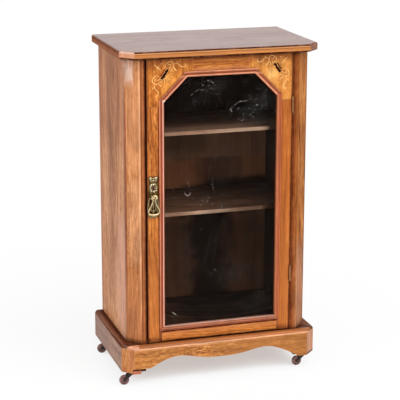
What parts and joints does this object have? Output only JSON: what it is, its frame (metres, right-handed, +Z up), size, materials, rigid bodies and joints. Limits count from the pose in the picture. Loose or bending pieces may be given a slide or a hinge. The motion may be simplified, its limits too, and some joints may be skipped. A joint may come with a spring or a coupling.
{
  "type": "sheet music cabinet",
  "caption": "Walnut cabinet with canted front corners, a glazed door with cut corners and inlaid corner panels, inner shelves and a shaped plinth on casters.",
  "frame": {"origin": "on the floor under the middle of the top board's plan: the bottoms of the caster wheels are at z = 0", "axes": "+X to the right of someone facing the cabinet, -Y out of its front, +Z up"},
  "size_m": [0.576, 0.345, 0.94],
  "materials": {
    "top_walnut": "waxed walnut, figured",
    "case_walnut": "waxed walnut, straight grained",
    "door_walnut": "waxed walnut, straight grained",
    "moulding_walnut": "polished red-brown walnut",
    "figured_veneer": "polished burr veneer with inlaid scrolls",
    "inside_wood": "dull stained softwood",
    "shelf_wood": "dull stained softwood",
    "clear_glass": "old clear glass",
    "brass": "cast brass, darkened in the hollows",
    "steel": "dull steel",
    "iron": "dark tarnished iron",
    "wheel_brown": "glossy brown, like glazed stoneware, worn"
  },
  "bodies": {
    "cabinet": {"top_board": "top_walnut", "left_side": "case_walnut", "right_side": "case_walnut", "left_corner_post": "case_walnut", "right_corner_post": "case_walnut", "plinth_front": "case_walnut", "plinth_left": "case_walnut", "plinth_right": "case_walnut", "plinth_back": "case_walnut", "plinth_cant_left": "case_walnut", "plinth_cant_right": "case_walnut", "base_moulding_front": "case_walnut", "base_moulding_left": "case_walnut", "base_moulding_right": "case_walnut", "base_moulding_cants": "case_walnut", "hanging_bead": "case_walnut", "back_boards": "inside_wood", "bottom_board": "inside_wood", "top_front_rail": "inside_wood", "top_back_rail": "inside_wood", "shelf_bearers": "inside_wood", "corner_blocks": "inside_wood", "upper_shelf": "shelf_wood", "lower_shelf": "shelf_wood", "strike_plate": "brass", "frame_hinge_leaves": "brass", "hinge_pins": "brass", "frame_brass_screws": "brass", "steel_screws": "steel", "back_nails": "steel", "caster_sockets": "iron"},
    "door": {"lock_stile": "door_walnut", "hinge_stile": "door_walnut", "door_top_rail": "door_walnut", "door_bottom_rail": "door_walnut", "corner_fillets": "door_walnut", "left_spandrel": "figured_veneer", "right_spandrel": "figured_veneer", "glazing_moulding_left": "moulding_walnut", "glazing_moulding_right": "moulding_walnut", "glazing_moulding_top": "moulding_walnut", "glazing_moulding_bottom": "moulding_walnut", "glazing_moulding_cant_left": "moulding_walnut", "glazing_moulding_cant_right": "moulding_walnut", "glass_pane": "clear_glass", "glazing_beads": "inside_wood", "lock_case": "brass", "handle_plate": "brass", "door_hinge_leaves": "brass", "door_brass_screws": "brass"},
    "lock_bolt": {"lock_bolt": "brass"},
    "handle_drop": {"handle_drop": "brass"},
    "horn_front_left": {"caster_horn_front_left": "iron"},
    "horn_front_right": {"caster_horn_front_right": "iron"},
    "horn_back_left": {"caster_horn_back_left": "iron"},
    "horn_back_right": {"caster_horn_back_right": "iron"},
    "wheel_front_left": {"caster_wheel_front_left": "wheel_brown"},
    "wheel_front_right": {"caster_wheel_front_right": "wheel_brown"},
    "wheel_back_left": {"caster_wheel_back_left": "wheel_brown"},
    "wheel_back_right": {"caster_wheel_back_right": "wheel_brown"}
  },
  "joints": [
    {"name": "door_hinge", "type": "hinge", "parent": "cabinet", "child": "door", "pos_m": [0.2065, -0.1523, 0.5], "axis": [0, 0, 1], "range_deg": [0, 170]},
    {"name": "lock_bolt_slide", "type": "slide", "parent": "door", "child": "lock_bolt", "axis": [-1, 0, 0], "range_m": [0, 0.008]},
    {"name": "handle_drop_hinge", "type": "hinge", "parent": "door", "child": "handle_drop", "pos_m": [-0.1925, -0.1585, 0.541], "axis": [-1, 0, 0], "range_deg": [-4, 100]},
    {"name": "swivel_front_left", "type": "hinge", "parent": "cabinet", "child": "horn_front_left", "pos_m": [-0.257, -0.1375, 0.05], "axis": [0, 0, 1], "continuous": true},
    {"name": "swivel_front_right", "type": "hinge", "parent": "cabinet", "child": "horn_front_right", "pos_m": [0.257, -0.1375, 0.05], "axis": [0, 0, 1], "continuous": true},
    {"name": "swivel_back_left", "type": "hinge", "parent": "cabinet", "child": "horn_back_left", "pos_m": [-0.257, 0.1255, 0.05], "axis": [0, 0, 1], "continuous": true},
    {"name": "swivel_back_right", "type": "hinge", "parent": "cabinet", "child": "horn_back_right", "pos_m": [0.257, 0.1255, 0.05], "axis": [0, 0, 1], "continuous": true},
    {"name": "wheel_front_left", "type": "hinge", "parent": "horn_front_left", "child": "wheel_front_left", "pos_m": [-0.277, -0.1375, 0.014], "axis": [0, 1, 0], "continuous": true},
    {"name": "wheel_front_right", "type": "hinge", "parent": "horn_front_right", "child": "wheel_front_right", "pos_m": [0.237, -0.1375, 0.014], "axis": [0, 1, 0], "continuous": true},
    {"name": "wheel_back_left", "type": "hinge", "parent": "horn_back_left", "child": "wheel_back_left", "pos_m": [-0.277, 0.1255, 0.014], "axis": [0, 1, 0], "continuous": true},
    {"name": "wheel_back_right", "type": "hinge", "parent": "horn_back_right", "child": "wheel_back_right", "pos_m": [0.237, 0.1255, 0.014], "axis": [0, 1, 0], "continuous": true}
  ]
}
